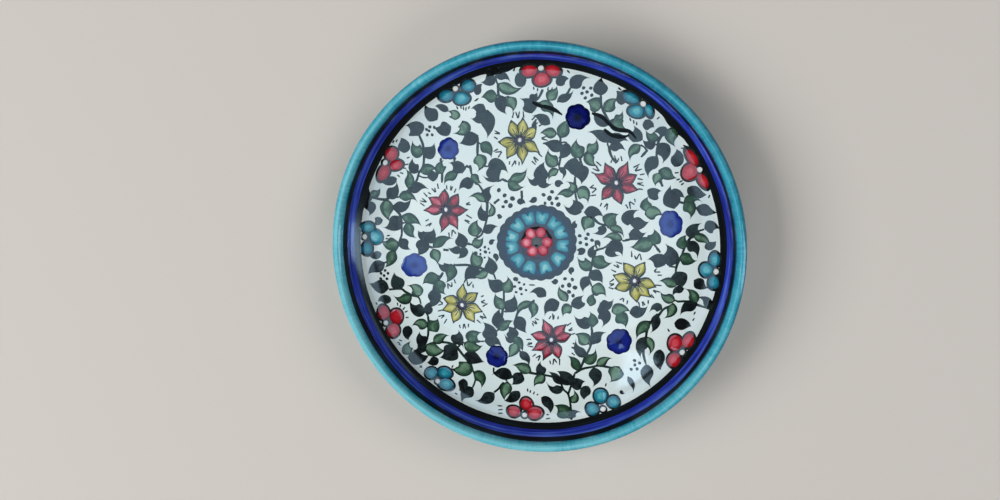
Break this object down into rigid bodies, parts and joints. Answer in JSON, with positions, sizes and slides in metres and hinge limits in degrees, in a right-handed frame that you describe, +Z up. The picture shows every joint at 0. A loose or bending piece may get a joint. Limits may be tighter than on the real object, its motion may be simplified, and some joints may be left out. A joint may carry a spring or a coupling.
{
  "type": "hand painted ceramic plate",
  "caption": "Round earthenware plate on a foot ring, with a low upright wall, a turquoise and cobalt glazed rim, and flowers painted on its white floor.",
  "frame": {"origin": "centre of the foot ring, on the plane of the surface the plate stands on", "axes": "+Z up along the plate's axis; +X to the right and +Y away as the painted face is read from above"},
  "size_m": [0.16, 0.16, 0.02],
  "materials": {
    "fired_clay": "matte",
    "white_glaze": "gloss",
    "black_glaze": "gloss",
    "cobalt_glaze": "gloss",
    "turquoise_glaze": "gloss",
    "black_paint": "gloss",
    "green_paint": "gloss",
    "turquoise_paint": "gloss",
    "red_paint": "gloss",
    "crimson_paint": "gloss",
    "yellow_paint": "gloss",
    "cobalt_paint": "gloss"
  },
  "bodies": {
    "root": {"clay_body": "fired_clay", "floor_glaze": "white_glaze", "base_glaze": "white_glaze", "lower_black_band": "black_glaze", "upper_black_band": "black_glaze", "cobalt_band": "cobalt_glaze", "rim_glaze": "turquoise_glaze", "outer_wall_glaze": "turquoise_glaze", "medallion_ground": "black_paint", "medallion_petals": "turquoise_paint", "medallion_rosette": "red_paint", "yellow_star_flowers": "yellow_paint", "red_star_flowers": "crimson_paint", "cobalt_flowers": "cobalt_paint", "red_border_flowers": "red_paint", "turquoise_border_flowers": "turquoise_paint"}
  },
  "joints": []
}
